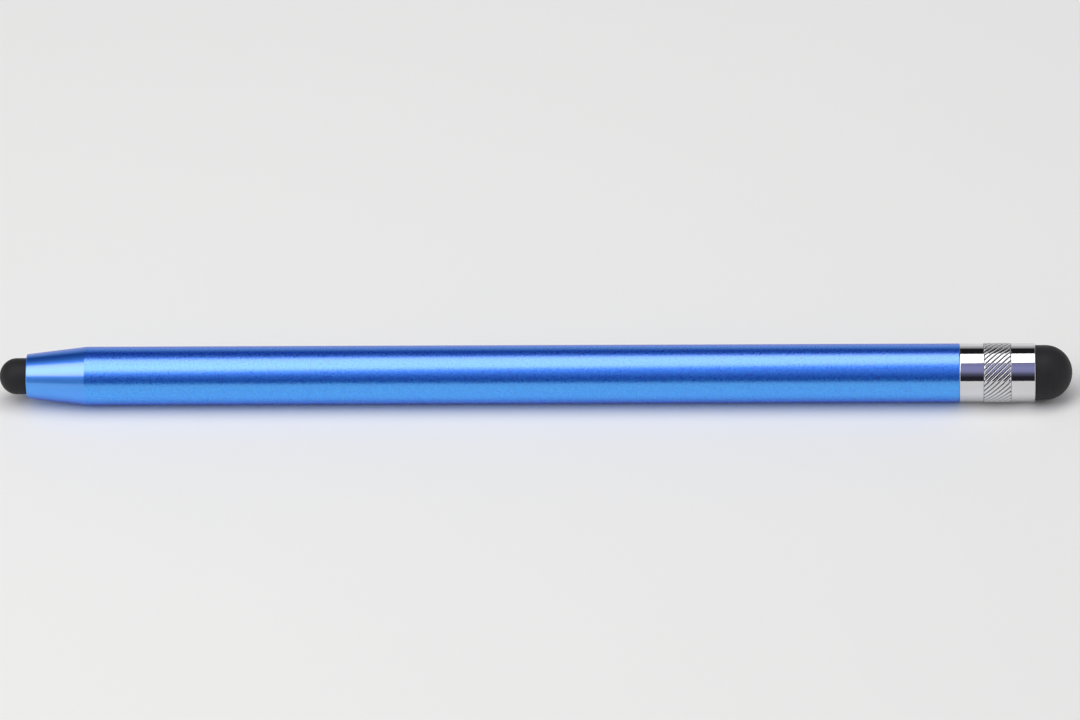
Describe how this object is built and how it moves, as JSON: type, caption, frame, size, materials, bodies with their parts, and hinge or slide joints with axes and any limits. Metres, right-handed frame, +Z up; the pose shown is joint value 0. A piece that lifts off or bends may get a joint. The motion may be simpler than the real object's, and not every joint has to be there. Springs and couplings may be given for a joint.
{
  "type": "stylus pen",
  "caption": "Slim capacitive stylus with an anodised barrel, a small rubber dome in its tapered nose and a large rubber dome in a knurled screw-in ferrule.",
  "frame": {"origin": "middle of the pen's length, on the surface that it lies on, below its axis", "axes": "+X along the pen from the small front tip to the large rear tip, +Z up"},
  "size_m": [0.1466, 0.008, 0.0081],
  "materials": {
    "anodised_barrel": "fine-blasted and blue anodised, with a turned nose",
    "plated_ferrule": "polished bright plate over turned and knurled brass",
    "turned_brass": "plain turned",
    "tip_rubber": "matte moulded conductive rubber",
    "seal_rubber": "smooth moulded nitrile"
  },
  "bodies": {
    "barrel": {"barrel": "anodised_barrel", "front_tip_post": "turned_brass", "thread_bush": "turned_brass"},
    "front_tip": {"front_tip": "tip_rubber"},
    "seal": {"o_ring": "seal_rubber"},
    "ferrule": {"ferrule": "plated_ferrule", "rear_tip_post": "turned_brass"},
    "rear_tip": {"rear_tip": "tip_rubber"}
  },
  "joints": [
    {"name": "front_tip_press", "type": "slide", "parent": "barrel", "child": "front_tip", "axis": [1, 0, 0], "range_m": [0, 0.0008], "stiffness_N_per_m": 1500},
    {"name": "ferrule_travel", "type": "slide", "parent": "barrel", "child": "seal", "axis": [1, 0, 0], "range_m": [0, 0.0056]},
    {"name": "ferrule_turn", "type": "hinge", "parent": "seal", "child": "ferrule", "pos_m": [0.05795, 0, 0.00405], "axis": [1, 0, 0], "range_deg": [0, 2520]},
    {"name": "rear_tip_press", "type": "slide", "parent": "ferrule", "child": "rear_tip", "axis": [-1, 0, 0], "range_m": [0, 0.0009], "stiffness_N_per_m": 1500}
  ],
  "couplings": [
    {"joint": "ferrule_turn", "follows": "ferrule_travel", "rad_per_m": 7854}
  ]
}
